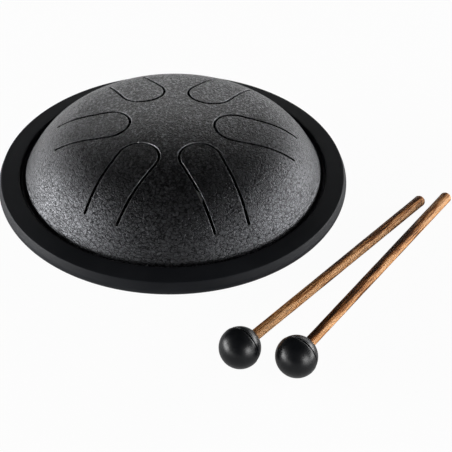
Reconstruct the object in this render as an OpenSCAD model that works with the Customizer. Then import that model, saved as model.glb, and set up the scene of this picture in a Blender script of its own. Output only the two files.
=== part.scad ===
// Steel tongue drum with a rubber edge ring and a pair of mallets.
// Millimetres, +Z up. The origin is the centre of the sound hole, on the outside of the base.

/* [Domed top shell] */
// Radius of the dome at the seam between the two shells
dome_r = 79.7; // [77:0.1:82]
// Radius of the broad crown of the dome
crown_r = 254; // [220:1:290]
// Radius of the rounded shoulder round the crown
shoulder_r = 41.7; // [40:0.1:44]
// Depth of the shoulder's centre below the seam
shoulder_drop = 14.2; // [12:0.2:16]
// Slope of the straight wall between the shoulder and the seam, in degrees
wall_slope = 58; // [54:0.5:62]
// Thickness of the sheet steel in both shells
sheet_t = 1.2; // [0.9:0.1:1.4]
// Width of the flat flange that each shell turns out at the seam
flange_w = 4.5; // [4:0.1:5]

/* [Tongues] */
// Width of the cut round each tongue
cut_w = 1.4; // [1.1:0.1:1.6]
// Angle between each leg of a cut and the middle line of its tongue
leg_taper = 2.4; // [1.8:0.1:3]
// Direction of each tongue, from the longest to the shortest, in degrees
tongue_dirs = [-63.5, -115, -6.5, 188.3, 58.5, 124.5]; // [-180:0.5:360]
// Distance of each tongue's free end from the middle, as a share of the dome's radius
tongue_tip_shares = [0.295, 0.311, 0.2625, 0.2785, 0.2665, 0.271]; // [0.25:0.005:0.35]
// Distance of each tongue's root from the middle, as a share of the dome's radius
tongue_root_shares = [0.876, 0.8515, 0.785, 0.7445, 0.713, 0.6505]; // [0.6:0.005:0.9]
// Half the width of each tongue's round head, as a share of the dome's radius
tongue_half_width_shares = [0.1265, 0.1265, 0.1405, 0.139, 0.1455, 0.143]; // [0.12:0.005:0.15]

/* [Bottom shell] */
// Height of the seam above the outside of the base
seam_z = 24; // [22:0.5:25]
// How far the curved wall runs in from the seam to the flat base
pan_run = 27.7; // [26:0.1:29]
// Radius of the sound hole in the base
sound_hole_r = 15; // [12:0.5:18]

/* [Edge ring] */
// Width of the ring's top face
ring_w = 9.8; // [9:0.1:12]
// Height of the ring
ring_h = 8.4; // [8:0.2:9]
// Gap between the dome at the seam and the inner edge of the ring
ring_gap = 0.5; // [0.4:0.1:1]
// How far the side of the ring bulges past its top edge
ring_bulge = 1.5; // [1:0.1:1.8]
// Radius that rounds the lower edge of the ring
ring_round = 4; // [3:0.2:4]
// Radius that breaks the other edges of the ring
ring_edge_r = 0.6; // [0.4:0.1:0.8]
// Room round the seam at the bottom of the ring's groove
groove_room = 0.4; // [0.3:0.1:0.5]

/* [Seam weld] */
// Width of the weld bead round the edge of the two flanges
weld_w = 0.8; // [0.6:0.1:1]

/* [Feet] */
// Distance of a foot's middle from the edge of the flat base
foot_inset = 8; // [7:0.5:12]
// Radius of a foot where it stands
foot_r = 5.5; // [5:0.1:6]
// Height of a foot under the base
foot_h = 3; // [2.5:0.1:4]
// Radius of the hole for a foot
foot_hole_r = 2.5; // [2:0.1:3]
// Radius of the bead that keeps a foot in its hole
foot_bead_r = 3.6; // [3.4:0.1:3.8]
// Radius of the nose of a foot, inside the drum
foot_nose_r = 1.8; // [1.5:0.1:1.9]
// Length of a foot inside the drum
foot_nose_h = 3.2; // [2.8:0.1:3.6]

/* [Mallets] */
// Radius of a mallet's rubber head
head_r = 9.5; // [9:0.1:10]
// Step between the two halves of a head
head_step = 0.15; // [0.1:0.05:0.2]
// Depth of the shaft inside the head, from the head's centre
shaft_in = 3; // [2:0.5:4]
// Radius of the shaft at the head
shaft_r = 2.6; // [2.4:0.1:2.8]
// Radius of the shaft at the butt
butt_r = 3.2; // [3:0.1:3.5]
// Radius of the round end of the butt
butt_round = 4.2; // [4:0.1:5]
// Length of a mallet from the centre of its head to its butt
mallet_l = 155; // [140:1:165]
// Direction of the left mallet's shaft, in degrees
left_angle = 48.7; // [46:0.1:50]
// Clear space between the ring and the middle line of the left mallet
left_clear = 6.6; // [5:0.1:12]
// How far the left head lies before the point of its line that is nearest to the drum
left_head_back = 56; // [45:0.5:65]
// Direction of the right mallet's shaft, in degrees
right_angle = 53.2; // [52:0.1:56]
// How much farther from the drum the right mallet's line passes
mallet_apart = 17.4; // [16:0.1:24]
// How far the right head lies before the point of its line that is nearest to the drum
right_head_back = 51.6; // [45:0.1:60]

/* [Hidden] */

$fn = 180;
// Facets of the widest arcs
fine_fn = 360;
// How far one outline stands past the next where the two would only touch
arc_over = 0.015;
// Facets of small round parts
small_fn = 64;
// Steps in each arc of an outline worked out point by point
arc_steps = 10;
// Number of rubber feet
foot_count = 4;
quarter_turn = 90;
full_turn = 4 * quarter_turn;

// Radial run from the shoulder's centre to the seam, which the straight wall slopes down to
shoulder_run = (shoulder_r - shoulder_drop * cos(wall_slope)) / sin(wall_slope);
shoulder_x = dome_r - shoulder_run;
shoulder_z = seam_z - shoulder_drop;
// Where the crown's arc runs into the shoulder's arc, as an angle from the horizontal
shoulder_start = acos(shoulder_x / (crown_r - shoulder_r));
crown_z = shoulder_z - (crown_r - shoulder_r) * sin(shoulder_start);

flange_r = dome_r + flange_w;
ring_inner_r = dome_r + ring_gap;
ring_r = ring_inner_r + ring_w;
ring_top_z = seam_z + ring_h / 2;
ring_bottom_z = seam_z - ring_h / 2;
ring_side_r = ring_r + ring_bulge;
groove_r = flange_r + weld_w + groove_room;

// The curved wall of the pan is one arc from the flat base to the seam
base_r = dome_r - pan_run;
pan_arc_r = (pow(pan_run, 2) + pow(seam_z, 2)) / (2 * seam_z);
floor_z = -foot_h;
foot_place_r = base_r - foot_inset;

// The butt rests on the same floor as the head
butt_cap_h = butt_round - sqrt(pow(butt_round, 2) - pow(butt_r, 2));
butt_place = mallet_l - butt_cap_h;
mallet_tilt = asin(head_r / sqrt(pow(butt_place, 2) + pow(butt_r, 2))) - atan(butt_r / butt_place);
left_line_r = ring_side_r + left_clear;
right_line_r = left_line_r + mallet_apart;

// Well past the drum in every direction, for cutting
far = 2 * crown_r;

function arc_points(x, z, r, from, to) = [
  for (i = [0 : arc_steps])
    let (a = from + (to - from) * i / arc_steps)
    [x + r * cos(a), z + r * sin(a)]
];

// Ring of constant width, seen flat
module band(outer_r, width) {
  difference() {
    circle(outer_r);
    circle(outer_r - width);
  }
}

// What the shoulder's arc rounds off, from the end of the straight wall up to the crown
module shoulder_corner(inset) {
  difference() {
    polygon([
      [0, 0],
      far * [sin(wall_slope), cos(wall_slope)],
      far * [cos(shoulder_start), sin(shoulder_start)]
    ]);
    circle(shoulder_r + arc_over - inset);
  }
}

// Everything inside the dome's arcs and wall, drawn in by the inset
module dome_area(inset) {
  difference() {
    intersection() {
      translate([0, crown_z])
        circle(crown_r - inset, $fn = fine_fn);
      translate([shoulder_x, shoulder_z])
        rotate(-wall_slope)
          translate([-far, -far])
            square([2 * far, far + shoulder_r - inset]);
    }
    translate([shoulder_x, shoulder_z])
      shoulder_corner(inset);
  }
}

// Flat flange of one shell, from its wall outwards
module flange_outline(under_z) {
  translate([dome_r - sheet_t, under_z])
    square([flange_w + sheet_t, sheet_t]);
}

module top_shell_outline() {
  intersection() {
    difference() {
      dome_area(0);
      dome_area(sheet_t);
    }
    translate([0, seam_z])
      square([far, far]);
  }
  flange_outline(seam_z);
}

// A point beside a tongue's middle line: how far along its leg, and how far out from the middle
function leg_point(along, out) = [
  along * cos(leg_taper) + out * sin(leg_taper),
  out * cos(leg_taper) - along * sin(leg_taper)
];

function other_side(point) = [point[0], -point[1]];

// A round head, and legs that draw in towards the root
module tongue_outline(half_w, run) {
  side = half_w - arc_over;
  circle(half_w);
  polygon([
    [0, 0],
    leg_point(0, side),
    leg_point(run, side),
    other_side(leg_point(run, side)),
    other_side(leg_point(0, side))
  ]);
}

// The cut that frees one tongue, seen from above, with its root along +X
module tongue_cut(tip, root, half_w) {
  run = (root - tip - half_w * (1 + sin(leg_taper))) / cos(leg_taper);
  leg_end = leg_point(run, half_w - arc_over);
  translate([tip + half_w, 0]) {
    difference() {
      tongue_outline(half_w + cut_w / 2, run);
      tongue_outline(half_w - cut_w / 2, run + half_w);
    }
    for (end_point = [leg_end, other_side(leg_end)])
      translate(end_point)
        circle(cut_w / 2 + arc_over, $fn = small_fn);
  }
}

module all_tongue_cuts() {
  for (i = [0 : len(tongue_dirs) - 1])
    rotate(tongue_dirs[i])
      linear_extrude(far)
        tongue_cut(
          dome_r * tongue_tip_shares[i],
          dome_r * tongue_root_shares[i],
          dome_r * tongue_half_width_shares[i]
        );
}

module top_shell() {
  color([0.17, 0.17, 0.18])
    difference() {
      rotate_extrude()
        top_shell_outline();
      translate([0, 0, seam_z + sheet_t])
        all_tongue_cuts();
    }
}

module pan_corner_outline() {
  intersection() {
    translate([base_r, pan_arc_r])
      band(pan_arc_r, sheet_t);
    translate([base_r, 0])
      square([far, seam_z]);
  }
}

module bottom_shell_outline() {
  translate([sound_hole_r, 0])
    square([base_r - sound_hole_r, sheet_t]);
  pan_corner_outline();
  flange_outline(seam_z - sheet_t);
}

module at_foot(i) {
  rotate(i * full_turn / foot_count + full_turn / (2 * foot_count))
    translate([foot_place_r, 0, 0])
      children();
}

module bottom_shell() {
  color([0.17, 0.17, 0.18])
    difference() {
      rotate_extrude()
        bottom_shell_outline();
      for (i = [0 : foot_count - 1])
        at_foot(i)
          translate([0, 0, -sheet_t])
            cylinder(h = 3 * sheet_t, r = foot_hole_r, $fn = small_fn);
    }
}

module seam_weld() {
  color([0.42, 0.41, 0.4])
    rotate_extrude()
      translate([flange_r, seam_z])
        intersection() {
          circle(sheet_t, $fn = small_fn);
          translate([0, -sheet_t])
            square([weld_w, 2 * sheet_t]);
        }
}

// Outside of the ring's section: rounded edges, a bulging side and a round lower edge
module ring_outline() {
  low_x = ring_side_r - ring_round;
  low_z = ring_bottom_z + ring_round;
  edge_z = ring_top_z - ring_edge_r;
  side_lean = atan((ring_side_r - ring_r) / (edge_z - low_z));
  polygon(concat(
    arc_points(low_x, low_z, ring_round, -quarter_turn, side_lean),
    arc_points(ring_r - ring_edge_r, edge_z, ring_edge_r, side_lean, quarter_turn),
    arc_points(ring_inner_r + ring_edge_r, edge_z, ring_edge_r, quarter_turn, 2 * quarter_turn),
    arc_points(
      ring_inner_r + ring_edge_r, ring_bottom_z + ring_edge_r, ring_edge_r,
      2 * quarter_turn, 3 * quarter_turn
    )
  ));
}

module edge_ring() {
  color([0.09, 0.09, 0.095])
    rotate_extrude()
      difference() {
        ring_outline();
        translate([0, seam_z - sheet_t])
          square([groove_r, 2 * sheet_t]);
      }
}

// A rubber foot: a pad under the base, a neck through it and a nose that keeps it in
module foot_outline() {
  translate([0, floor_z])
    square([foot_r, foot_h]);
  square([foot_hole_r, sheet_t]);
  polygon([
    [0, sheet_t],
    [foot_bead_r, sheet_t],
    [foot_nose_r, sheet_t + foot_nose_h],
    [0, sheet_t + foot_nose_h]
  ]);
}

module foot(i) {
  color([0.08, 0.08, 0.085])
    at_foot(i)
      rotate_extrude($fn = small_fn)
        foot_outline();
}

// Lays a mallet on the floor: +Z of its own frame runs from the head to the butt
module lay_mallet(angle, line_r, head_back) {
  rotate(angle)
    translate([-head_back, -line_r, floor_z + head_r])
      rotate([0, quarter_turn + mallet_tilt, 0])
        children();
}

module mallet_head(angle, line_r, head_back) {
  color([0.07, 0.07, 0.075])
    lay_mallet(angle, line_r, head_back)
      difference() {
        union() {
          intersection() {
            sphere(head_r);
            translate([0, 0, -head_r])
              cylinder(h = head_r, r = 2 * head_r);
          }
          intersection() {
            sphere(head_r - head_step);
            cylinder(h = head_r, r = 2 * head_r);
          }
        }
        translate([0, 0, -shaft_in])
          cylinder(h = 2 * head_r, r = shaft_r);
      }
}

module shaft_outline() {
  translate([0, -shaft_in])
    square([shaft_r, shaft_in + head_r]);
  polygon([
    [0, head_r],
    [shaft_r, head_r],
    [butt_r, butt_place],
    [0, butt_place]
  ]);
  intersection() {
    translate([0, mallet_l - butt_round])
      circle(butt_round);
    translate([0, butt_place])
      square([butt_r, butt_cap_h]);
  }
}

module mallet_shaft(angle, line_r, head_back) {
  color([0.62, 0.4, 0.24])
    lay_mallet(angle, line_r, head_back)
      rotate_extrude($fn = small_fn)
        shaft_outline();
}

module left_mallet_head() {
  mallet_head(left_angle, left_line_r, left_head_back);
}

module left_mallet_shaft() {
  mallet_shaft(left_angle, left_line_r, left_head_back);
}

module right_mallet_head() {
  mallet_head(right_angle, right_line_r, right_head_back);
}

module right_mallet_shaft() {
  mallet_shaft(right_angle, right_line_r, right_head_back);
}

top_shell();
bottom_shell();
seam_weld();
edge_ring();
foot(0);  // foot_1
foot(1);  // foot_2
foot(2);  // foot_3
foot(3);  // foot_4
left_mallet_head();
left_mallet_shaft();
right_mallet_head();
right_mallet_shaft();
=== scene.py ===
"""Looks for the steel tongue drum and its two mallets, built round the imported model."""

import math

import bpy
import numpy as np
from mathutils import Matrix, Vector
from mathutils.geometry import delaunay_2d_cdt


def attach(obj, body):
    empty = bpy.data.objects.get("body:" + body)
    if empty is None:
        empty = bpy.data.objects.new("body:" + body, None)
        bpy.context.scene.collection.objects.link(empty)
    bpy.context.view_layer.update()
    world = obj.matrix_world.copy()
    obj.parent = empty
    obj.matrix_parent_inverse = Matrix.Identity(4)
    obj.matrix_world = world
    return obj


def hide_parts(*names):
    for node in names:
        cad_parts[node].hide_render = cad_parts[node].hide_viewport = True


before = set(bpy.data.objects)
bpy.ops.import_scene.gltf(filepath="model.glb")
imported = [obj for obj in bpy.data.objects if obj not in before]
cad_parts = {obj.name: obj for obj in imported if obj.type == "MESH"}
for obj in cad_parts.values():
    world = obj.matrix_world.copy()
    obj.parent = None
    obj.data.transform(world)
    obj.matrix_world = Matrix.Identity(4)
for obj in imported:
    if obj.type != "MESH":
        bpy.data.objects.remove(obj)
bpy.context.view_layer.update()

# Sizes of the drum in millimetres, as in the part's source.
MM = 0.001
DOME_R = 79.7
CROWN_R = 254.0
SHOULDER_R = 41.7
SHOULDER_DROP = 14.2
WALL_SLOPE = math.radians(58)
SHEET = 1.2
FLANGE_R = 84.2
SEAM_Z = 24.0
BASE_R = 52.0
HOLE_R = 15.0
FOOT_PLACE_R = 44.0
FOOT_R = 5.5
FOOT_H = 3.0
FOOT_HOLE_R = 2.5
FOOT_BEAD_R = 3.6
FOOT_NOSE_R = 1.8
FOOT_NOSE_H = 3.2
FOOT_COUNT = 4
FOOT_TURN = 45
# Recess in a foot's sole, at the floor and inside.
RECESS_R = 3.2
RECESS_INNER_R = 2.9

RING_INNER_R = 80.2
RING_R = 90.0
RING_SIDE_R = 91.5
RING_H = 8.4
RING_ROUND = 4.0
GROOVE_R = 85.4

# Each tongue's direction in degrees, and its tip, root and half width as shares of the dome's radius.
TONGUES = [
    (-63.5, 0.295, 0.876, 0.1265),
    (-115, 0.311, 0.8515, 0.1265),
    (-6.5, 0.2625, 0.785, 0.1405),
    (188.3, 0.2785, 0.7445, 0.139),
    (58.5, 0.2665, 0.713, 0.1455),
    (124.5, 0.271, 0.6505, 0.143),
]
# Width of the cut round a tongue, and how far each leg of it spreads.
CUT_W = 1.4
LEG_TAPER = math.radians(2.4)

# Sizes of the mallets.
HEAD_R = 9.5
HEAD_STEP = 0.15
HEAD_PARTING = 1.6
SHAFT_R = 2.6
BUTT_R = 3.2
BUTT_ROUND = 4.2
MALLET_L = 155.0
SHAFT_IN = 3.0
# Where a mallet lies: the angle of its line in degrees, how far the line passes from the drum's axis,
# and how far its ball lies back along it.
MALLETS = {
    "left_mallet": {"angle": 48.7, "line": 98.1, "back": 56.0},
    "right_mallet": {"angle": 53.2, "line": 115.5, "back": 51.6},
}
# How far the rounded end of a butt stands past its edge, and where that edge lies on the shaft.
BUTT_CAP = BUTT_ROUND - math.sqrt(BUTT_ROUND**2 - BUTT_R**2)
BUTT_EDGE = MALLET_L - BUTT_CAP
FLOOR_Z = -FOOT_H

# Where the shoulder's arc and the crown's have their middles and meet, and the radius of the pan's arc.
SHOULDER_RUN = (SHOULDER_R - SHOULDER_DROP * math.cos(WALL_SLOPE)) / math.sin(WALL_SLOPE)
SHOULDER_X = DOME_R - SHOULDER_RUN
SHOULDER_Z = SEAM_Z - SHOULDER_DROP
CROWN_Z = SHOULDER_Z - math.sqrt((CROWN_R - SHOULDER_R) ** 2 - SHOULDER_X**2)
CROWN_EDGE_R = SHOULDER_X * CROWN_R / (CROWN_R - SHOULDER_R)
PAN_ARC_R = ((DOME_R - BASE_R) ** 2 + SEAM_Z**2) / (2 * SEAM_Z)

# Points round a turned piece.
AROUND = 360
AROUND_HEAD = 128
AROUND_SMALL = 64
# Edges that meet at less than this angle share a normal.
GENTLE = math.cos(math.radians(35))
# Where the dome's plan mesh, which the tongues are cut in, meets its turned rim.
PLAN_R = 73.0
# Steps between the plan mesh's rings and between the points on a ring, how a ring is turned against
# the one before, and the room that the mesh leaves at the rim and round a cut.
RING_STEP = 1.5
POINT_STEP = 1.6
RING_SHIFT = 0.37
ROOM_AT_RIM = 1.0
ROOM_ROUND_CUT = 0.7
# Points of a cut's middle line, along a leg and round its head.
LEG_POINTS = 28
BEND_POINTS = 50
# How far each line of a rolled edge lies from the cut, how deep, and how far its normal leans into it.
LIP = [(0.32, 0.0, 0), (0.20, 0.024, 22), (0.07, 0.12, 52), (0.0, 0.32, 90)]

# Where the dome's wall ends, outside and inside, its mouth, and the bend out to the flange,
# as distances past the wall and above the flange.
WALL_END_R = 78.2
WALL_INSIDE_R = 78.1
DOME_MOUTH_R = 78.3
DOME_BEND = [(0.42, 0.58), (0.75, 0.22), (1.2, 0.04), (1.7, 0.0)]
# The base pan's mouth, the bend under its flange as radii and drops, and the rings on its flat.
PAN_MOUTH_R = 78.7
PAN_BEND = [(80.3, 0.0), (79.75, 0.12), (79.45, 0.5)]
PAN_RINGS = [24, 36]
# Where the arcs of the pan's wall end, inside and outside, in degrees.
PAN_INNER_END = -10
PAN_OUTER_END = -12.8

# Moulded groove round a mallet's head: where the ball's own arcs stop beside it, and its arcs,
# with depth, start, end and steps. All in degrees past the parting.
GROOVE_EDGES = (3.4, -3.2)
HEAD_GROOVE = [(HEAD_STEP + 0.34, 2.7, -0.9, 3), (0.08, -1.8, -2.2, 1)]
# The small unevenness of a turned stick, as waves with a reach, a pace and a start,
# and how far the stick stays inside its solid for it, in the open and in the head.
STICK_WAVES = [(0.018, 0.21, 0), (0.012, 0.53, 1)]
STICK_INSET = 0.03
HIDDEN_INSET = 0.02

# How far a surface leans from the dome, as a squared sine, on a rolled edge and deep in a cut.
ROLLED = (0.03, 0.14)
DEEP_IN_CUT = (0.75, 0.92)
# Creases of the coat, wide and narrow: cells in a millimetre, and how far a crease reaches into a cell.
CREASES = ((0.42, 0.12), (0.85, 0.2))
WIDE_LEVEL = 0.88
NARROW_LEVEL = 0.8
# Flecks in a millimetre.
FLECKS = 0.85
# Where the coat grows coarse, by how far back a point lies, and where the crown is painted darker as shade
# and made glossier, by how far out.
COARSENS = (-70.0, -10.0)
CROWN_SHADE = (12.0, 52.0)

# The studio, in metres. Lamps have a place, a width and height, and a radiance.
LAMPS = {
    "left_softbox": ((-1.06, -0.09, 0.173), (0.90, 0.30), 18.2),
    "right_softbox": ((1.09, 0.22, 0.173), (1.20, 0.30), 11.0),
    "front_softbox": ((0.80, -0.86, 0.280), (0.45, 0.35), 3.0),
}
HEADS_CARD = ((0.666, -0.643, 0.386), (0.42, 0.36), 13.0)
DRUM_AIM = (0.03, 0, 0.02)
HEADS_AIM = (0.05, -0.108, 0.006)
# Brightness of the ceiling, and of the wall behind the camera and what it gains ahead and at the sides.
CEILING = 0.03
WALL_BEHIND = 0.7
WALL_AHEAD = 3.5
WALL_ASIDE = 1.9
# Where the wall stops upwards, and where it grows brighter ahead and at the sides. These are parts
# of a unit direction: up, ahead, and squared to the side.
WALL_TOP = (0.10, 0.22)
AHEAD_FROM = (-1.0, -0.55)
ASIDE_FROM = (0.10, 0.42)
# Half the floor's side, its white, and how far from the drum's axis, in millimetres, the white begins.
FLOOR_REACH = 4.0
FLOOR_WHITE = 0.96
WHITE_FROM = (30.0, 58.0)
# Share of the floor's white that glossy surfaces mirror.
MIRRORED = 0.3

# The camera's lens in millimetres, on a sensor this wide, and where it stands and looks.
LENS = 56.97
SENSOR_W = 36.0
CAMERA_PLACE = (0.02853, -0.30728, 0.25591)
CAMERA_RIGHT = (0.999289, 0.025037, 0.028174)
CAMERA_AHEAD = (0, 0.747504, -0.664257)


class Socket:
    """An output in a finish's node tree. Expressions on numbers add Math nodes."""

    def __init__(self, finish, output):
        self.finish = finish
        self.output = output

    def maths(self, operation, *values):
        inputs = dict(enumerate(values))
        return self.finish.add("ShaderNodeMath", {"operation": operation}, inputs)[0]

    def __add__(self, other):
        return self.maths("ADD", self, other)

    def __radd__(self, other):
        return self.maths("ADD", other, self)

    def __sub__(self, other):
        return self.maths("SUBTRACT", self, other)

    def __rsub__(self, other):
        return self.maths("SUBTRACT", other, self)

    def __mul__(self, other):
        return self.maths("MULTIPLY", self, other)

    def __rmul__(self, other):
        return self.maths("MULTIPLY", other, self)

    def __truediv__(self, other):
        return self.maths("DIVIDE", self, other)

    def __abs__(self):
        return self.maths("ABSOLUTE", self)

    def at_least(self, other):
        return self.maths("MAXIMUM", self, other)


class Outputs:
    """The outputs of one node, by name or by place."""

    def __init__(self, finish, node):
        self.finish = finish
        self.node = node

    def __getitem__(self, key):
        return Socket(self.finish, self.node.outputs[key])


class Finish:
    """A node tree that is written as calls and expressions."""

    def __init__(self, tree):
        self.tree = tree
        self.tree.nodes.clear()

    def add(self, kind, settings=None, inputs=None):
        node = self.tree.nodes.new(kind)
        for name, value in (settings or {}).items():
            if name == "stops":
                self.set_stops(node.color_ramp, value)
            else:
                setattr(node, name, value)
        for key, value in (inputs or {}).items():
            if isinstance(value, Socket):
                self.tree.links.new(value.output, node.inputs[key])
            else:
                node.inputs[key].default_value = value
        return Outputs(self, node)

    @staticmethod
    def set_stops(ramp, stops):
        while len(ramp.elements) < len(stops):
            ramp.elements.new(0.5)
        for element, (place, colour) in zip(ramp.elements, stops):
            element.position = place
            element.color = (*colour, 1)

    def place(self):
        """Where a point lies on its piece, in millimetres."""
        here = self.add("ShaderNodeTexCoord")["Object"]
        return self.scaled(here, (1 / MM,) * 3)

    def vector(self, operation, *values):
        """A sum on vectors, or on their length or their dot product, which gives a number."""
        settings = {"operation": operation}
        made = self.add("ShaderNodeVectorMath", settings, dict(enumerate(values)))
        return made["Value" if operation in ("LENGTH", "DOT_PRODUCT") else "Vector"]

    def scaled(self, vector, by):
        return self.vector("MULTIPLY", vector, by)

    def shifted(self, vector, by):
        return self.vector("ADD", vector, by)

    def parts(self, vector):
        return self.add("ShaderNodeSeparateXYZ", None, {0: vector})

    def noise(self, vector, scale, detail=2, roughness=0.5):
        return self.add(
            "ShaderNodeTexNoise",
            {"noise_dimensions": "3D"},
            {"Vector": vector, "Scale": scale, "Detail": detail, "Roughness": roughness},
        )

    def ramp(self, value, stops):
        return self.add("ShaderNodeValToRGB", {"stops": stops}, {0: value})["Color"]

    def mix(self, share, one, other):
        settings = {"data_type": "RGBA", "clamp_factor": True}
        return self.add("ShaderNodeMix", settings, {0: share, 6: one, 7: other})[2]

    def smooth(self, value, low, high):
        settings = {"interpolation_type": "SMOOTHSTEP"}
        inputs = {"Value": value, "From Min": low, "From Max": high}
        return self.add("ShaderNodeMapRange", settings, inputs)[0]

    def bump(self, height, distance, strength=1.0):
        inputs = {"Height": height, "Distance": distance, "Strength": strength}
        return self.add("ShaderNodeBump", None, inputs)[0]


def new_material(name):
    material = bpy.data.materials.new(name)
    material.use_nodes = True
    return material, Finish(material.node_tree)


def close_surface(finish, inputs):
    """Ends a material with a principled surface that has those inputs."""
    surface = finish.add("ShaderNodeBsdfPrincipled", None, inputs)[0]
    finish.add("ShaderNodeOutputMaterial", None, {"Surface": surface})


def thin_coat_and_highlight(f):
    """1 on the rolled edges of the cuts, where the coat runs thin and a lighter colour is painted in as
    highlight.
    It is 0 on the dome and deep in the cuts."""
    place = f.scaled(f.place(), (1, 1, 0))
    from_axis = f.vector("LENGTH", place)
    outwards = f.vector("NORMALIZE", place)
    sideways = f.vector("CROSS_PRODUCT", outwards, (0, 0, 1))
    normal = f.add("ShaderNodeTexCoord")["Normal"]
    crown = from_axis / CROWN_R
    shoulder = (from_axis - SHOULDER_X) / SHOULDER_R
    out = f.vector("DOT_PRODUCT", normal, outwards) - crown.at_least(shoulder)
    aside = f.vector("DOT_PRODUCT", normal, sideways)
    leaned = out * out + aside * aside
    return f.smooth(leaned, *ROLLED) * (1 - f.smooth(leaned, *DEEP_IN_CUT))


def crease(f, place, scale, reach):
    """0 along the bounds of a pattern of cells and 1 within them."""
    edges = f.add(
        "ShaderNodeTexVoronoi", {"feature": "DISTANCE_TO_EDGE"}, {"Vector": place, "Scale": scale}
    )
    return f.smooth(edges["Distance"], 0.0, reach)


def coated_steel():
    """Charcoal powder coat, wrinkled like leather: small plates between fine creases, which are painted dark
    as shade.
    It is coarser over the crown and the back than on the steep sides, and the crown is painted darker as
    shade and made glossier."""
    material, f = new_material("coated_steel")
    here = f.scaled(f.place(), (1, 1, 1.7))
    drift = f.shifted(f.noise(here, 0.5, 2)["Color"], (-0.5, -0.5, -0.5))
    warped = f.shifted(here, f.scaled(drift, (2.4, 2.4, 2.4)))
    wide, narrow = (crease(f, warped, *sizes) for sizes in CREASES)
    cells = f.add("ShaderNodeTexVoronoi", {"feature": "F1"}, {"Vector": warped, "Scale": FLECKS})
    plate = f.add("ShaderNodeSeparateColor", None, {0: cells["Color"]})[0] - 0.5
    grain = f.noise(here, 2.2, 2, 0.6)[0]
    flecks = f.noise(warped, FLECKS, 1)[0]
    runs = f.noise(f.scaled(f.place(), (1, 0.5, 0.8)), FLECKS, 1)[0]
    clouds = f.noise(here, 0.07, 3)[0]

    spot = f.parts(f.place())
    coarse = f.smooth(0.8 * spot[1] - abs(spot[0]), *COARSENS)
    # Painted shade: the crown's coat is coloured darker here, and it is also made less rough.
    from_crown_middle = f.vector("LENGTH", f.shifted(f.scaled(f.place(), (1, 1, 0)), (0, 4, 0)))
    crown_shade = 1 - f.smooth(from_crown_middle, *CROWN_SHADE)

    relief = 0.25 * wide + 0.2 * narrow + 0.3 * grain + flecks - 1.0
    height = relief * (0.7 + 0.5 * coarse)
    wide = wide - WIDE_LEVEL
    # Painted shade: the tone is darker along the creases, as if shaded; over the plates it varies at random.
    marks = 0.42 * wide + 0.2 * (narrow - NARROW_LEVEL) + 0.14 * plate + 0.5 * (grain - 0.5)
    bold = 0.9 * (runs - 0.5) + 0.6 * (flecks - 0.5) + 0.3 * wide + 0.25 * plate
    tone = 0.5 + 0.6 * marks + (0.4 + 1.9 * coarse) * bold + 0.25 * (clouds - 0.5) - 0.30 * crown_shade
    coat = f.ramp(tone, [
        (0.10, (0.016, 0.0163, 0.0175)),
        (0.40, (0.056, 0.0568, 0.0600)),
        (0.70, (0.103, 0.105, 0.111)),
        (0.95, (0.165, 0.168, 0.176)),
    ])
    close_surface(f, {
        # The rolled edges of the cuts are lighter: partly a thin coat, partly a painted highlight.
        "Base Color": f.mix(thin_coat_and_highlight(f) * 0.5, coat, (0.34, 0.345, 0.36, 1)),
        "Metallic": 1.0,
        "Roughness": 0.45 - 0.03 * tone - 0.12 * crown_shade,
        "Normal": f.bump(height, 0.30 * MM, 1.0),
    })
    return material


def ring_rubber():
    """Matt black rubber with a fine moulded grain."""
    material, f = new_material("ring_rubber")
    here = f.place()
    grain = f.noise(here, 2.6, 3, 0.6)[0]
    bloom = f.noise(here, 0.05, 3)[0]
    close_surface(f, {
        "Base Color": f.mix(
            f.smooth(bloom, 0.3, 0.75), (0.0080, 0.0090, 0.0115, 1), (0.0120, 0.0132, 0.0160, 1)
        ),
        "Roughness": 0.48 + 0.12 * grain,
        "Specular IOR Level": 0.15,
        "Normal": f.bump(grain, 0.05 * MM, 0.6),
    })
    return material


def head_rubber():
    """Satin black rubber, handled, with faint smears."""
    material, f = new_material("head_rubber")
    here = f.place()
    smear = f.noise(f.scaled(here, (1, 1, 0.35)), 0.35, 4, 0.6)[0]
    grain = f.noise(here, 3.0, 2)[0]
    close_surface(f, {
        "Base Color": f.mix(smear, (0.0015, 0.0018, 0.0024, 1), (0.004, 0.0045, 0.0055, 1)),
        "Roughness": 0.27 + 0.13 * smear,
        "Specular IOR Level": 0.27,
        "Normal": f.bump(0.7 * smear + 0.3 * grain, 0.04 * MM, 0.6),
    })
    return material


def foot_rubber():
    """Dark grey rubber, rougher than the ring's."""
    material, f = new_material("foot_rubber")
    here = f.place()
    grain = f.noise(here, 2.2, 3, 0.6)[0]
    close_surface(f, {
        "Base Color": f.mix(grain, (0.012, 0.012, 0.013, 1), (0.024, 0.024, 0.025, 1)),
        "Roughness": 0.6 + 0.2 * grain,
        "Normal": f.bump(grain, 0.06 * MM, 0.6),
    })
    return material


def weld_metal():
    """Bare metal as welded, with the bead's ripple."""
    material, f = new_material("weld_metal")
    here = f.place()
    ripple = f.noise(here, 0.9, 3, 0.6)[0]
    close_surface(f, {
        "Base Color": f.mix(ripple, (0.20, 0.19, 0.18, 1), (0.46, 0.45, 0.43, 1)),
        "Metallic": 1.0,
        "Roughness": 0.32 + 0.25 * ripple,
        "Normal": f.bump(ripple, 0.15 * MM, 0.8),
    })
    return material


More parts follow.
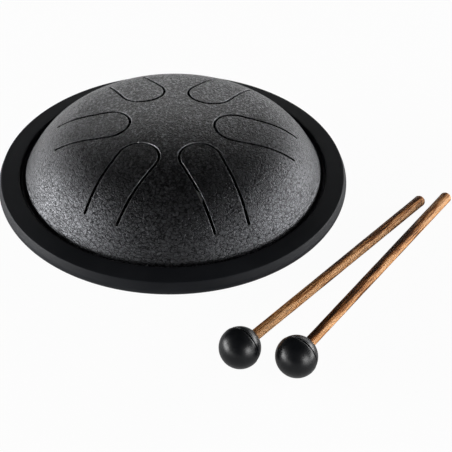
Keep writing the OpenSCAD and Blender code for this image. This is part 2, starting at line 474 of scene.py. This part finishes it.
def shaft_wood(name, into_stick, seed, pale, slope, dashes):
    """Oiled hardwood, with its grain along the stick, and painted shade: darker along its upper side and at
    its lower edge.
    The matrix leads from the floor's frame into the stick's. The seed picks the piece of wood,
    pale lightens it, slope is how the layers run off the stick, and dashes how dark its pores are."""
    material, f = new_material(name)
    stick = f.add("ShaderNodeMapping", {"vector_type": "POINT"}, {
        "Vector": f.place(),
        "Rotation": into_stick.to_euler(),
        "Location": into_stick.translation / MM,
    })[0]
    here = f.shifted(stick, (seed, seed * 0.7, seed * 3))
    local = f.parts(stick)
    side = local[1] * 0.8 - local[0] * 0.6
    along = local[2]
    drift = f.noise(f.scaled(here, (1, 1, 0.045)), 0.5, 3)[0]
    layer = side * 0.32 + along * slope + drift * 2.4
    fine = f.noise(f.scaled(here, (1, 1, 0.06)), 1.3, 2, 0.5)[0]
    layers = f.add("ShaderNodeCombineXYZ", None, {0: layer, 1: seed, 2: along * 0.012})[0]
    rings = f.noise(layers, 2.0, 2, 0.5)[0]
    pores = f.noise(f.scaled(here, (1, 1, 0.11)), 1.9, 1, 0.5)[0]
    dash = f.smooth(pores, 0.56, 0.66) * dashes
    # Painted shade: the stick is coloured darker at its lower edge and along its upper side.
    under = f.smooth(side * -1.0, 1.1, 2.9)
    over = f.smooth(side, -0.9, 2.2)
    shade = 0.58 * rings + 0.56 * fine - pale + 0.21 * (over - 0.4) + 0.18 * under
    colour = f.ramp(shade, [
        (0.38, (0.68, 0.375, 0.180)),
        (0.47, (0.52, 0.240, 0.088)),
        (0.54, (0.26, 0.092, 0.026)),
        (0.60, (0.090, 0.034, 0.010)),
        (0.70, (0.032, 0.012, 0.004)),
    ])
    close_surface(f, {
        "Base Color": f.mix(dash, colour, (0.022, 0.008, 0.004, 1)),
        "Specular IOR Level": 0.06,
        "Roughness": 0.42 + 0.2 * fine,
        "Normal": f.bump(0.7 * fine - 0.5 * dash, 0.10 * MM, 0.6),
    })
    return material


def link_piece(mesh, body, material, node):
    """Puts a mesh in the scene as a piece that rides on a body and is seen instead of a node."""
    piece = bpy.data.objects.new(mesh.name, mesh)
    bpy.context.scene.collection.objects.link(piece)
    mesh.materials.append(material)
    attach(piece, body)
    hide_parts(node)
    return piece


class Skin:
    """Points, faces and corner normals of a surface, in millimetres."""

    def __init__(self):
        self.points = []
        self.faces = []
        self.normals = []

    def add_row(self, points):
        """Adds points and gives their numbers."""
        start = len(self.points)
        self.points += points
        return list(range(start, len(self.points)))

    def add_face(self, corners):
        """Adds a face from pairs of a point's number and a normal.
        Corners on the same point become one."""
        kept = [c for i, c in enumerate(corners) if c[0] != corners[i - 1][0]]
        if len(kept) > 2:
            self.faces.append([number for number, _ in kept])
            self.normals += [tuple(normal) for _, normal in kept]

    def strip(self, one, other, one_normals, other_normals):
        """Faces between two closed rows of the same size."""
        one, other = list(zip(one, one_normals)), list(zip(other, other_normals))
        for i in range(len(one)):
            j = (i + 1) % len(one)
            self.add_face([one[i], other[i], other[j], one[j]])

    def turn(self, outline, around, ends=None):
        """Turns an outline round Z. An open one joins two rows that are there already.
        The outline runs clockwise, seen with Z up and the radius to the right."""
        turns = even_turns(around)

        def spun(r, z):
            return [(r * math.cos(t), r * math.sin(t), z) for t in turns]

        rows = []
        for r, z in outline if ends is None else outline[1:-1]:
            rows.append(self.add_row(spun(r, z)) if r else self.add_row([(0, 0, z)]) * around)
        rows = rows + rows[:1] if ends is None else [ends[0], *rows, ends[1]]
        for i, (low, high) in enumerate(edge_normals(outline, ends is None)):
            self.strip(rows[i], rows[i + 1], spun(*low), spun(*high))

    def mesh(self, name, place=None):
        """The mesh in metres. A place moves and turns it."""
        mesh = bpy.data.meshes.new(name)
        mesh.from_pydata(np.array(self.points, float) * MM, [], self.faces)
        mesh.shade_smooth()
        normals = np.array(self.normals, float)
        if place is not None:
            mesh.transform(place)
            normals = normals @ np.array(place.to_3x3()).T
        mesh.update()
        mesh.normals_split_custom_set(normals.tolist())
        return mesh


def unit(vector):
    return vector / np.linalg.norm(vector)


def even_turns(count):
    """Angles spaced evenly all the way round."""
    return [2 * math.pi * k / count for k in range(count)]


def edge_normals(outline, closed):
    """Outward normals at both ends of each edge of an outline, shared where it bends gently."""
    ends = outline[1:] + outline[:1] if closed else outline[1:]
    edges = [unit(np.subtract(q, p)) for p, q in zip(outline, ends)]
    flat = [np.array((-e[1], e[0])) for e in edges]
    last = len(flat) - 1

    def shared(own, other):
        return unit(own + other) if own @ other > GENTLE else own

    pairs = []
    for i, own in enumerate(flat):
        before = flat[i - 1] if closed or i else own
        after = flat[(i + 1) % len(flat)] if closed or i < last else own
        pairs.append((shared(own, before), shared(own, after)))
    return pairs


def turned(name, outline, around, place=None):
    """The mesh of an outline that is turned round Z."""
    skin = Skin()
    skin.turn(outline, around)
    return skin.mesh(name, place)


def arc(x, z, r, start, end, steps):
    """Points on an arc, with angles in degrees."""
    angles = np.radians(np.linspace(start, end, steps + 1))
    return [(x + r * math.cos(a), z + r * math.sin(a)) for a in angles]


def dome_z(r, inset=0.0):
    """Height of the dome's outside, or of a surface inset under it."""
    if r < CROWN_EDGE_R:
        return CROWN_Z + math.sqrt((CROWN_R - inset) ** 2 - r * r)
    reach = SHOULDER_R - inset
    past = r - SHOULDER_X - reach * math.sin(WALL_SLOPE)
    if past < 0:
        return SHOULDER_Z + math.sqrt(reach**2 - (r - SHOULDER_X) ** 2)
    return SHOULDER_Z + reach * math.cos(WALL_SLOPE) - past * math.tan(WALL_SLOPE)


def dome_normal(x, y):
    """Outward normal of the dome over a point of its plan."""
    r = math.hypot(x, y)
    if r < CROWN_EDGE_R:
        return unit(np.array((x, y, dome_z(r) - CROWN_Z)))
    out = min(math.asin((r - SHOULDER_X) / SHOULDER_R), WALL_SLOPE)
    return np.array((math.sin(out) * x / r, math.sin(out) * y / r, math.cos(out)))


def cut_line(tip, root, half_w):
    """Middle line of one cut, from the end of one leg round the head to the other.
    Each point comes with its side normal."""
    run = (root - tip - half_w * (1 + math.sin(LEG_TAPER))) / math.cos(LEG_TAPER)
    along = np.array((math.cos(LEG_TAPER), -math.sin(LEG_TAPER)))
    out = np.array((math.sin(LEG_TAPER), math.cos(LEG_TAPER)))
    leg = [(along * s + out * half_w, out) for s in np.linspace(run, 0, LEG_POINTS)]
    start = math.pi / 2 - LEG_TAPER
    turn = []
    for a in np.linspace(start, 2 * math.pi - start, BEND_POINTS)[1:-1]:
        n = np.array((math.cos(a), math.sin(a)))
        turn.append((n * half_w, n))
    mirror = np.array((1, -1))
    other = [(p * mirror, n * mirror) for p, n in reversed(leg)]
    shift = np.array((tip + half_w, 0))
    return [(p + shift, n) for p, n in leg + turn + other]


def loop_round(line, distance, cap=6):
    """Closed loop at a distance from a cut's middle line, as points and the normals away from it."""
    outer = [(p + n * distance, n) for p, n in line]
    inner = [(p - n * distance, -n) for p, n in reversed(line)]

    def end(point, first, sign):
        a = math.atan2(first[1], first[0])
        turns = [a + sign * math.pi * i / cap for i in range(1, cap)]
        ns = [np.array((math.cos(t), math.sin(t))) for t in turns]
        return [(point + n * distance, n) for n in ns]

    first, last = line[0], line[-1]
    return outer + end(last[0], last[1], 1) + inner + end(first[0], -first[1], 1)


def gap_to_line(points, line):
    """Distance from each plan point to a cut's middle line."""
    places = np.array([p for p, _ in line])
    a, b = places[:-1], places[1:]
    ab = b - a
    best = np.full(len(points), np.inf)
    for p0, d in zip(a, ab):
        t = np.clip(((points - p0) @ d) / (d @ d), 0, 1)
        best = np.minimum(best, np.linalg.norm(points - p0 - t[:, None] * d, axis=1))
    return best


def plan_grid(lines, clear):
    """Plan points of the dome on rings, left out near the cuts."""
    points = [(0.0, 0.0)]
    for r in np.arange(RING_STEP, PLAN_R - ROOM_AT_RIM, RING_STEP):
        count = max(8, round(2 * math.pi * r / POINT_STEP))
        turn = (r * RING_SHIFT) % 1
        for k in range(count):
            a = 2 * math.pi * (k + turn) / count
            points.append((r * math.cos(a), r * math.sin(a)))
    points = np.array(points)
    for line in lines:
        points = points[gap_to_line(points, line) > clear]
    return points


def tongue_cuts():
    """Middle line of the cut round each tongue, in the dome's plan."""
    lines = []
    for turn, tip, root, half_w in TONGUES:
        a = math.radians(turn)
        spin = np.array(((math.cos(a), -math.sin(a)), (math.sin(a), math.cos(a))))
        line = cut_line(tip * DOME_R, root * DOME_R, half_w * DOME_R)
        lines.append([(spin @ p, spin @ n) for p, n in line])
    return lines


def plan_mesh(lines, edges):
    """Points and triangles of the dome's plan, with a hole for each cut inside its edge.
    The numbers of the points on the rim and on each edge come with them."""
    plan = [(PLAN_R * math.cos(a), PLAN_R * math.sin(a)) for a in even_turns(AROUND)]
    holes = []
    for edge in edges:
        holes.append(list(range(len(plan), len(plan) + len(edge))))
        plan += [tuple(p) for p, _ in edge]
    plan += [tuple(p) for p in plan_grid(lines, CUT_W / 2 + LIP[0][0] + ROOM_ROUND_CUT)]
    made = delaunay_2d_cdt([Vector(p) for p in plan], [], holes, 0, 1e-7)
    points, _, triangles, came_from, _, in_holes = made
    number = {}
    for new, olds in enumerate(came_from):
        for old in olds:
            number[old] = new
    sheet = np.array([tuple(p) for p in points])
    kept = [corners for corners, hole in zip(triangles, in_holes) if not hole]
    rim, *round_cuts = [[number[i] for i in row] for row in (range(AROUND), *holes)]
    return sheet, kept, rim, round_cuts


def on_dome(points, inset=0.0):
    """Plan points lifted to the dome's outside, or to a surface inset under it."""
    return [(x, y, dome_z(math.hypot(x, y), inset)) for x, y in points]


def cut_wall(skin, loops, top, bottom, down):
    """Rolled edge and wall of one cut, between its rows of points on the sheet's top and bottom."""
    rows, normals = [top], []
    for (_, drop, lean), loop in zip(LIP, loops):
        ups = [dome_normal(*p) for p, _ in loop]
        normals.append([leaned(up, n, lean) for up, (_, n) in zip(ups, loop)])
        if drop:
            deep = [dome_z(math.hypot(*p)) - drop / up[2] for up, (p, _) in zip(ups, loop)]
            rows.append(skin.add_row([(*p, z) for z, (p, _) in zip(deep, loop)]))
    rows.append(skin.add_row(on_dome([p for p, _ in loops[-1]], SHEET)))
    normals.append(normals[-1])
    for k in range(len(rows) - 1):
        skin.strip(rows[k + 1], rows[k], normals[k + 1], normals[k])
    skin.strip(bottom, rows[-1], down, down)


def dome_mesh():
    """The dome with its six tongues: a plan mesh lifted to the dome, rolled edges and walls
    in the cuts, and a turned rim."""
    lines = tongue_cuts()
    loops = [[loop_round(line, CUT_W / 2 + out) for out, _, _ in LIP] for line in lines]
    sheet, triangles, rim, round_cuts = plan_mesh(lines, [loop[0] for loop in loops])

    skin = Skin()
    outside = [dome_normal(x, y) for x, y in sheet]
    top = skin.add_row(on_dome(sheet))
    bottom = skin.add_row(on_dome(sheet, SHEET))
    for a, b, c in triangles:
        if np.cross(sheet[b] - sheet[a], sheet[c] - sheet[a]) < 0:
            b, c = c, b
        skin.add_face([(top[i], outside[i]) for i in (a, b, c)])
        skin.add_face([(bottom[i], -outside[i]) for i in (c, b, a)])
    for loop, edge in zip(loops, round_cuts):
        down = [-outside[i] for i in edge]
        cut_wall(skin, loop, [top[i] for i in edge], [bottom[i] for i in edge], down)
    skin.turn(rim_profile(), AROUND, [[top[i] for i in rim], [bottom[i] for i in rim]])
    return skin.mesh("dome")


def leaned(up, away, angle):
    """A normal of the dome, leaned by an angle towards the cut that the side normal faces away from."""
    into = unit(np.array((-away[0], -away[1], 0)))
    if angle == 90:
        return into
    into = unit(into - (into @ up) * up)
    return up * math.cos(math.radians(angle)) + into * math.sin(math.radians(angle))


def rim_profile():
    """Outline of the dome's rim, from the plan mesh's edge down the outside,
    round the flange and up the inside."""
    top, low = SEAM_Z + SHEET, SEAM_Z
    edge = 0.2
    wall = [(r, dome_z(r)) for r in np.linspace(PLAN_R, WALL_END_R, 12)]
    bend = [(WALL_END_R + out, top + up) for out, up in DOME_BEND]
    flange = [(FLANGE_R - edge, top), (FLANGE_R, top - edge), (FLANGE_R, low), (DOME_MOUTH_R, low)]
    inside = [(r, dome_z(r, SHEET)) for r in np.linspace(WALL_INSIDE_R, PLAN_R, 10)]
    return wall + bend + flange + inside


def ring_profile():
    """Outline of the ring, from its top round its side and bottom to the groove
    that holds the flanges."""
    top = SEAM_Z + RING_H / 2
    low = SEAM_Z - RING_H / 2
    edge = 0.55
    flat = 1.5
    side_lean = math.degrees(math.atan2(RING_SIDE_R - RING_R, top - edge - low - RING_ROUND))
    groove_top = SEAM_Z + SHEET
    groove_low = SEAM_Z - SHEET
    outline = [(RING_INNER_R + edge, top)]
    outline += [(r, top) for r in np.linspace(RING_INNER_R + flat, RING_R - flat, 4)]
    outline += arc(RING_R - edge, top - edge, edge, 90, side_lean, 6)
    outline += arc(RING_SIDE_R - RING_ROUND, low + RING_ROUND, RING_ROUND, side_lean, -90, 20)
    outline += [(RING_INNER_R + edge, low)]
    outline += arc(RING_INNER_R + edge, low + edge, edge, -90, -180, 5)[1:]
    outline += [(RING_INNER_R, groove_low), (GROOVE_R, groove_low), (GROOVE_R, groove_top)]
    outline += [(RING_INNER_R, groove_top)]
    outline += arc(RING_INNER_R + edge, top - edge, edge, 180, 90, 5)[:-1]
    return outline


def pan_profile():
    """Outline of the base pan, with the rolled edge of the sound hole."""
    edge = 0.35
    inner = PAN_ARC_R - SHEET
    outline = arc(HOLE_R + edge, SHEET - edge, edge, 180, 90, 4)
    outline += [(r, SHEET) for r in [*PAN_RINGS, BASE_R]]
    outline += arc(BASE_R, PAN_ARC_R, inner, -90, PAN_INNER_END, 26)[1:]
    outline += [(PAN_MOUTH_R, SEAM_Z), (FLANGE_R, SEAM_Z), (FLANGE_R, SEAM_Z - SHEET)]
    outline += [(r, SEAM_Z - SHEET - drop) for r, drop in PAN_BEND]
    outline += arc(BASE_R, PAN_ARC_R, PAN_ARC_R, PAN_OUTER_END, -90, 28)
    outline += [(r, 0.0) for r in reversed(PAN_RINGS)]
    outline += arc(HOLE_R + edge, edge, edge, -90, -180, 4)
    return outline


def foot_profile():
    """Outline of a foot, from its nose inside the drum to the shallow recess in its sole."""
    edge = 0.5
    sole_edge = 0.7
    recess = 0.25
    nose_top = SHEET + FOOT_NOSE_H
    outline = [(0, nose_top)]
    outline += arc(FOOT_NOSE_R - edge, nose_top - edge, edge, 90, 20, 4)
    outline += [(FOOT_BEAD_R, SHEET), (FOOT_HOLE_R, SHEET), (FOOT_HOLE_R, 0.0)]
    outline += [(FOOT_R - edge, 0.0)] + arc(FOOT_R - edge, -edge, edge, 90, 0, 4)[1:]
    outline += arc(FOOT_R - sole_edge, FLOOR_Z + sole_edge, sole_edge, 0, -90, 5)
    outline += [(RECESS_R, FLOOR_Z), (RECESS_INNER_R, FLOOR_Z + recess), (0, FLOOR_Z + recess)]
    return outline


def head_profile():
    """Outline of a mallet's head. The half on the shaft's side is a little smaller,
    past a fine groove."""
    small = HEAD_R - HEAD_STEP
    neck = math.degrees(math.asin(SHAFT_R / small))
    parting = math.degrees(math.asin(HEAD_PARTING / HEAD_R))
    outline = arc(0, 0, small, 90 - neck, parting + GROOVE_EDGES[0], 44)
    for depth, start, end, steps in HEAD_GROOVE:
        outline += arc(0, 0, HEAD_R - depth, parting + start, parting + end, steps)
    outline += arc(0, 0, HEAD_R, parting + GROOVE_EDGES[1], -89, 62)
    outline += [(0, -HEAD_R), (0, -SHAFT_IN), (SHAFT_R, -SHAFT_IN)]
    return outline


def shaft_profile():
    """Outline of a shaft, with the small unevenness of a turned stick."""
    # The round end and the side stop short of the edge between them, in degrees and millimetres.
    edge_turn = 6
    edge = 0.4
    in_head = 0.6
    turn = math.degrees(math.asin(BUTT_R / BUTT_ROUND))
    outline = [(0, MALLET_L)]
    outline += arc(0, MALLET_L - BUTT_ROUND, BUTT_ROUND, 89, 90 - turn + edge_turn, 10)
    for z in np.linspace(BUTT_EDGE - edge, HEAD_R - in_head, 70):
        share = (z - HEAD_R) / (BUTT_EDGE - HEAD_R)
        r = SHAFT_R + (BUTT_R - SHAFT_R) * max(share, 0)
        waver = sum(reach * math.sin(z * pace + start) for reach, pace, start in STICK_WAVES)
        outline.append((r - STICK_INSET + waver, z))
    outline += [(SHAFT_R - HIDDEN_INSET, -SHAFT_IN), (0, -SHAFT_IN)]
    return outline


def mallet_place(body):
    """Where a mallet lies: +Z of its own frame runs from the head to the butt."""
    spot = MALLETS[body]
    tilt = math.asin(HEAD_R / math.hypot(BUTT_EDGE, BUTT_R)) - math.atan(BUTT_R / BUTT_EDGE)
    lie = Matrix.Translation(Vector((-spot["back"], -spot["line"], FLOOR_Z + HEAD_R)) * MM)
    return (
        Matrix.Rotation(math.radians(spot["angle"]), 4, "Z")
        @ lie
        @ Matrix.Rotation(math.pi / 2 + tilt, 4, "Y")
    )


def build_drum():
    """The dome, pan, ring and feet, each in place of its solid. The weld's solid stays and gets a finish."""
    steel = coated_steel()
    pan = turned("base_pan", pan_profile(), AROUND)
    ring = turned("rubber_ring", ring_profile(), AROUND)
    link_piece(dome_mesh(), "drum", steel, "top_shell")
    link_piece(pan, "drum", steel, "bottom_shell")
    link_piece(ring, "drum", ring_rubber(), "edge_ring")
    foot_finish = foot_rubber()
    for i in range(FOOT_COUNT):
        a = math.radians(FOOT_TURN + 360 / FOOT_COUNT * i)
        spot = Matrix.Translation(Vector((math.cos(a), math.sin(a), 0)) * FOOT_PLACE_R * MM)
        foot = turned(f"rubber_foot_{i + 1}", foot_profile(), AROUND_SMALL, spot)
        link_piece(foot, "drum", foot_finish, f"foot_{i + 1}")
    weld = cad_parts["seam_weld"]
    weld.data.materials.clear()
    weld.data.materials.append(weld_metal())


def build_mallets():
    """Both mallets. Their heads are handed back, for the lamp that lights them alone."""
    rubber = head_rubber()
    left, right = (mallet_place(body) for body in MALLETS)
    woods = [
        shaft_wood("streaked_wood", left.inverted(), 3.1, 0.145, 0.004, 0.5),
        shaft_wood("flowing_wood", right.inverted(), 17.7, 0.06, 0.010, 0.25),
    ]
    heads = []
    for body, place, wood in zip(MALLETS, (left, right), woods):
        head = turned(f"{body}_ball", head_profile(), AROUND_HEAD, place)
        shaft = turned(f"{body}_stick", shaft_profile(), AROUND_SMALL, place)
        heads.append(link_piece(head, body, rubber, f"{body}_head"))
        link_piece(shaft, body, wood, f"{body}_shaft")
    return heads


def build_floor():
    """Pale floor that the camera sees as white and glossy surfaces mirror in part.
    It keeps the object's shadow."""
    mesh = bpy.data.meshes.new("floor")
    turns = ((-1, -1), (1, -1), (1, 1), (-1, 1))
    corners = [(FLOOR_REACH * x, FLOOR_REACH * y, 0) for x, y in turns]
    mesh.from_pydata(corners, [], [(0, 1, 2, 3)])
    floor = bpy.data.objects.new("floor", mesh)
    floor.location.z = FLOOR_Z * MM
    bpy.context.scene.collection.objects.link(floor)
    material, f = new_material("floor_white")
    centred = f.scaled(f.place(), (1, 1, 0))
    share = f.smooth(f.vector("LENGTH", centred), *WHITE_FROM) * FLOOR_WHITE
    matt = f.add("ShaderNodeBsdfDiffuse", None, {"Color": (0.92, 0.92, 0.92, 1)})[0]
    white = f.add("ShaderNodeEmission", None, {"Color": (1, 1, 1, 1), "Strength": 1.0})[0]
    seen = seen_rays(f, MIRRORED) * share
    mixed = f.add("ShaderNodeMixShader", None, {0: seen, 1: matt, 2: white})[0]
    f.add("ShaderNodeOutputMaterial", None, {"Surface": mixed})
    mesh.materials.append(material)


def seen_rays(f, glossy_share=0):
    """1 for camera and transmission rays, and a share for glossy ones."""
    path = f.add("ShaderNodeLightPath")
    seen = path["Is Camera Ray"].at_least(path["Is Transmission Ray"])
    return seen.at_least(path["Is Glossy Ray"] * glossy_share) if glossy_share else seen


def build_world():
    """White for the camera. The light is a low band of pale wall, weaker behind the camera."""
    world = bpy.data.worlds.new("studio")
    bpy.context.scene.world = world
    world.use_nodes = True
    f = Finish(world.node_tree)
    toward = f.parts(f.add("ShaderNodeTexCoord")["Generated"])
    ahead = f.smooth(toward[1], *AHEAD_FROM)
    aside = f.smooth(toward[0] * toward[0], *ASIDE_FROM)
    band = 1 - f.smooth(toward[2], *WALL_TOP)
    wall = CEILING + band * (WALL_BEHIND + ahead * (WALL_AHEAD + WALL_ASIDE * aside))
    seen = seen_rays(f)
    strength = seen + (1 - seen) * wall
    shade = f.add("ShaderNodeBackground", None, {"Color": (1, 1, 1, 1), "Strength": strength})[0]
    f.add("ShaderNodeOutputWorld", None, {"Surface": shade})


def softbox(name, aim, place, size, radiance):
    """A rectangular lamp of that radiance, turned to the point that it lights."""
    lamp = bpy.data.lights.new(name, "AREA")
    lamp.shape = "RECTANGLE"
    lamp.size, lamp.size_y = size
    lamp.energy = radiance * math.pi * size[0] * size[1]
    box = bpy.data.objects.new(name, lamp)
    box.location = place
    box.rotation_euler = (Vector(aim) - Vector(place)).to_track_quat("-Z", "Y").to_euler()
    box.visible_camera = False
    bpy.context.scene.collection.objects.link(box)
    return box


def build_lights(heads):
    """Softboxes round the drum, and a card that lights the mallets' heads alone."""
    for name, settings in LAMPS.items():
        softbox(name, DRUM_AIM, *settings)
    card = softbox("heads_card", HEADS_AIM, *HEADS_CARD)
    group = bpy.data.collections.new("heads_lit_by_card")
    for head in heads:
        group.objects.link(head)
    card.light_linking.receiver_collection = group


def build_camera():
    """The photograph's view: place, aim and roll, with the picture's middle on the lens axis."""
    camera = bpy.data.cameras.new("camera")
    camera.sensor_width = SENSOR_W
    camera.lens = LENS
    camera.clip_start = 0.01
    view = bpy.data.objects.new("camera", camera)
    right = Vector(CAMERA_RIGHT).normalized()
    ahead = Vector(CAMERA_AHEAD).normalized()
    up = right.cross(ahead)
    turn = Matrix((right, up, -ahead)).transposed().to_4x4()
    view.matrix_world = Matrix.Translation(CAMERA_PLACE) @ turn
    bpy.context.scene.collection.objects.link(view)
    bpy.context.scene.camera = view


build_drum()
mallet_heads = build_mallets()
build_floor()
build_world()
build_lights(mallet_heads)
build_camera()
bpy.context.scene.view_settings.view_transform = "Standard"
